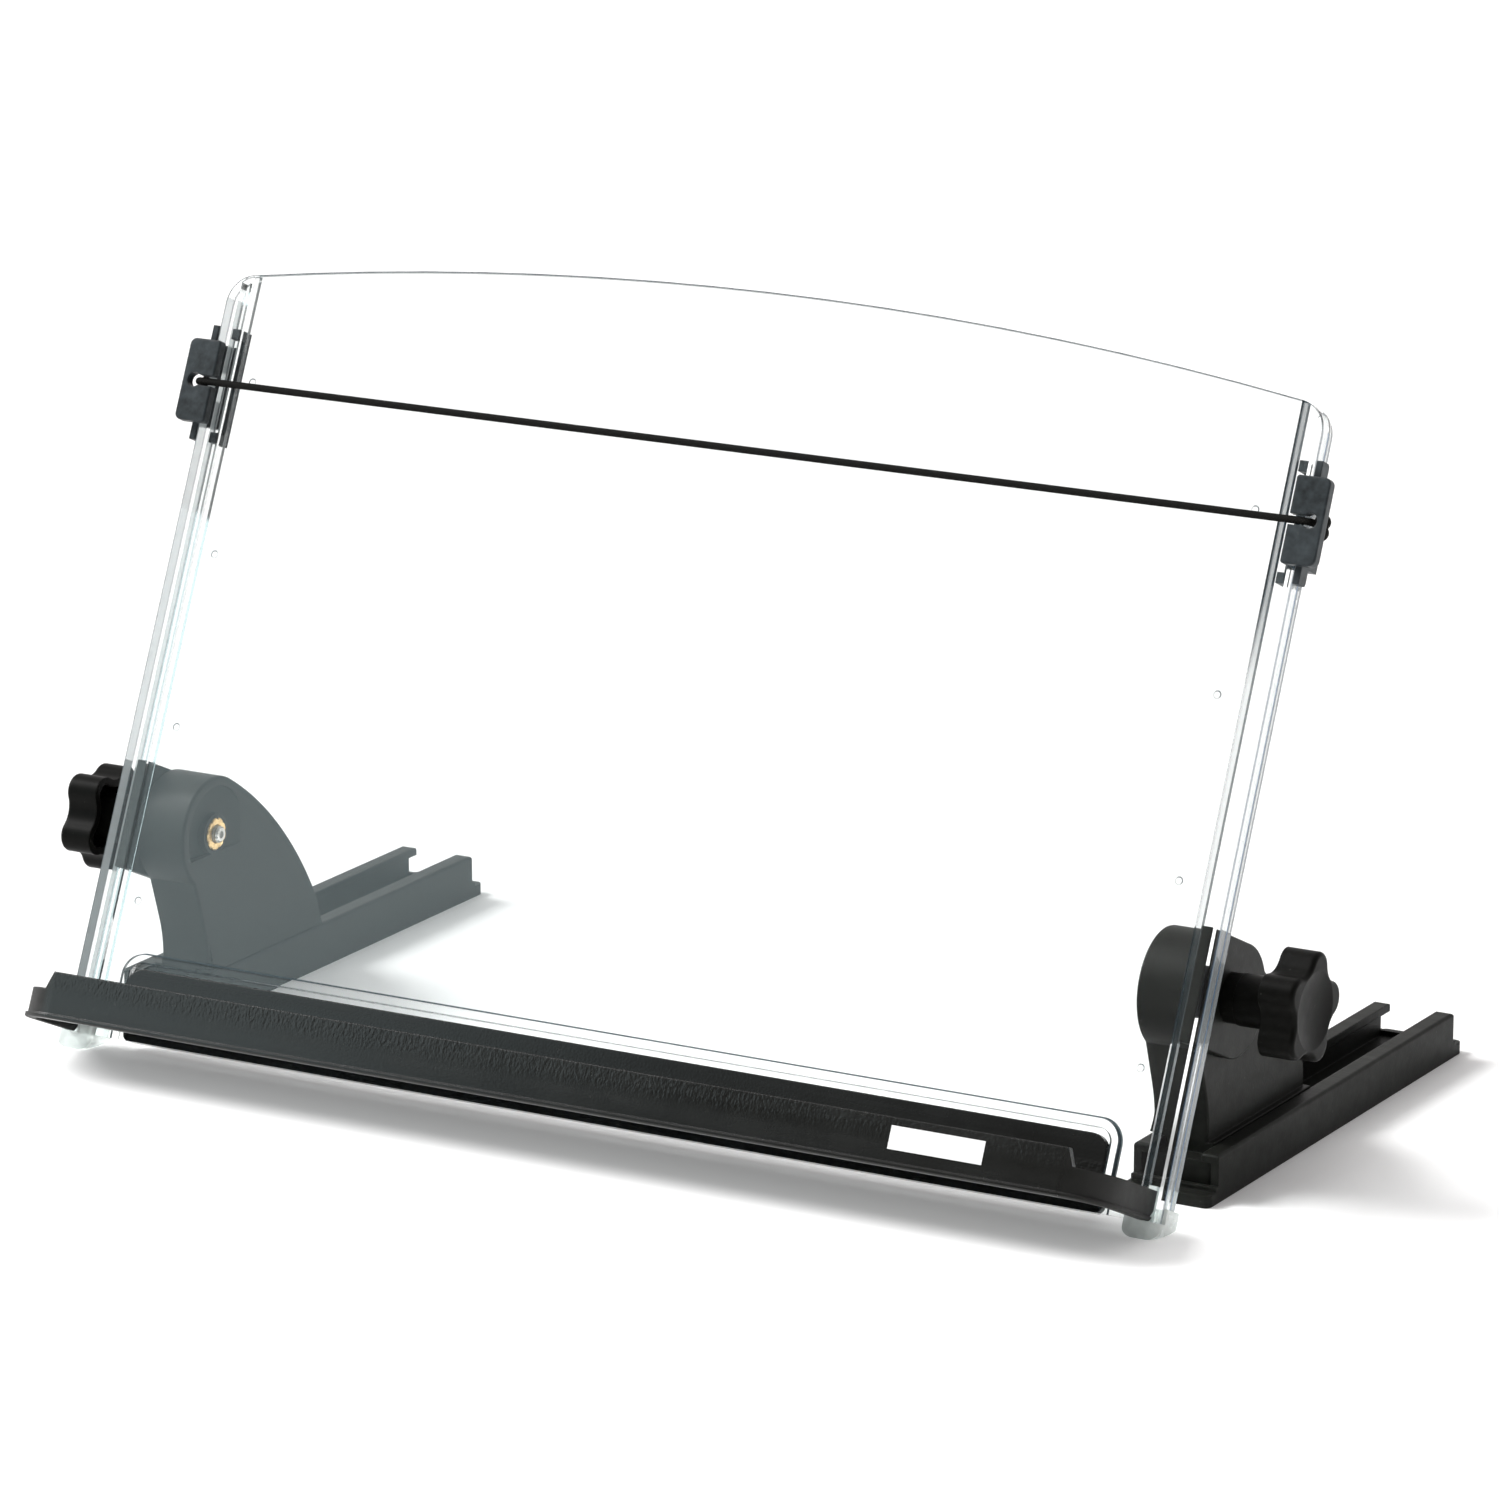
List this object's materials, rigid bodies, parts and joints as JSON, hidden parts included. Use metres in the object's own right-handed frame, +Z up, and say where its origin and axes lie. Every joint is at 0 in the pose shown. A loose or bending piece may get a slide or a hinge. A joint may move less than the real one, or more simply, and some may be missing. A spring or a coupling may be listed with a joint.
{
  "type": "copy holder with line guide",
  "caption": "Clear leaning board with a black page trough, carried on side supports with rails, clamped by star knobs, and crossed by a sliding cord line guide.",
  "frame": {"origin": "on the desk, in the middle of the whole width and depth with the board in its lowest position", "axes": "+X to the user's right along the board's width, +Y to the back, +Z up"},
  "size_m": [0.4002, 0.2239, 0.2223],
  "materials": {
    "clear_plastic": "clear, polished moulding",
    "black_plastic": "black, finely textured moulding",
    "knob_plastic": "black, satin moulding",
    "clear_rubber": "clear soft bumper",
    "label_film": "plain white film",
    "brass": "turned brass",
    "steel": "plated steel",
    "cord": "black elastic cord"
  },
  "bodies": {
    "base": {"left_rail": "black_plastic", "right_rail": "black_plastic"},
    "supports": {"left_support": "black_plastic", "right_support": "black_plastic", "left_support_insert": "brass", "right_support_insert": "brass"},
    "clamps": {"left_clamp_shoe": "black_plastic", "right_clamp_shoe": "black_plastic", "left_knob_spacer": "knob_plastic", "right_knob_spacer": "knob_plastic"},
    "left_knob": {"left_knob": "knob_plastic", "left_knob_bolt": "steel"},
    "right_knob": {"right_knob": "knob_plastic", "right_knob_bolt": "steel"},
    "board": {"board": "clear_plastic", "document_ledge": "black_plastic", "ledge_backing": "black_plastic", "blank_label": "label_film", "left_foot": "clear_rubber", "right_foot": "clear_rubber"},
    "line_guide": {"left_slider": "black_plastic", "right_slider": "black_plastic", "line_cord": "cord", "left_cord_knot": "cord", "right_cord_knot": "cord"}
  },
  "joints": [
    {"name": "support_slide", "type": "slide", "parent": "base", "child": "supports", "axis": [0, 1, 0], "range_m": [-0.0018, 0.014]},
    {"name": "board_tilt", "type": "hinge", "parent": "supports", "child": "clamps", "pos_m": [0, -0.03334, 0.05435], "axis": [-1, 0, 0], "range_deg": [0, 60]},
    {"name": "left_knob_turn", "type": "hinge", "parent": "clamps", "child": "left_knob", "pos_m": [0, -0.03334, 0.05435], "axis": [1, 0, 0], "range_deg": [0, 360]},
    {"name": "right_knob_turn", "type": "hinge", "parent": "clamps", "child": "right_knob", "pos_m": [0, -0.03334, 0.05435], "axis": [1, 0, 0], "range_deg": [0, 360]},
    {"name": "board_height", "type": "slide", "parent": "clamps", "child": "board", "axis": [0, 0.4163, 0.9092], "range_m": [0, 0.038]},
    {"name": "line_guide_slide", "type": "slide", "parent": "board", "child": "line_guide", "axis": [0, 0.4163, 0.9092], "range_m": [-0.093, 0.006]}
  ]
}
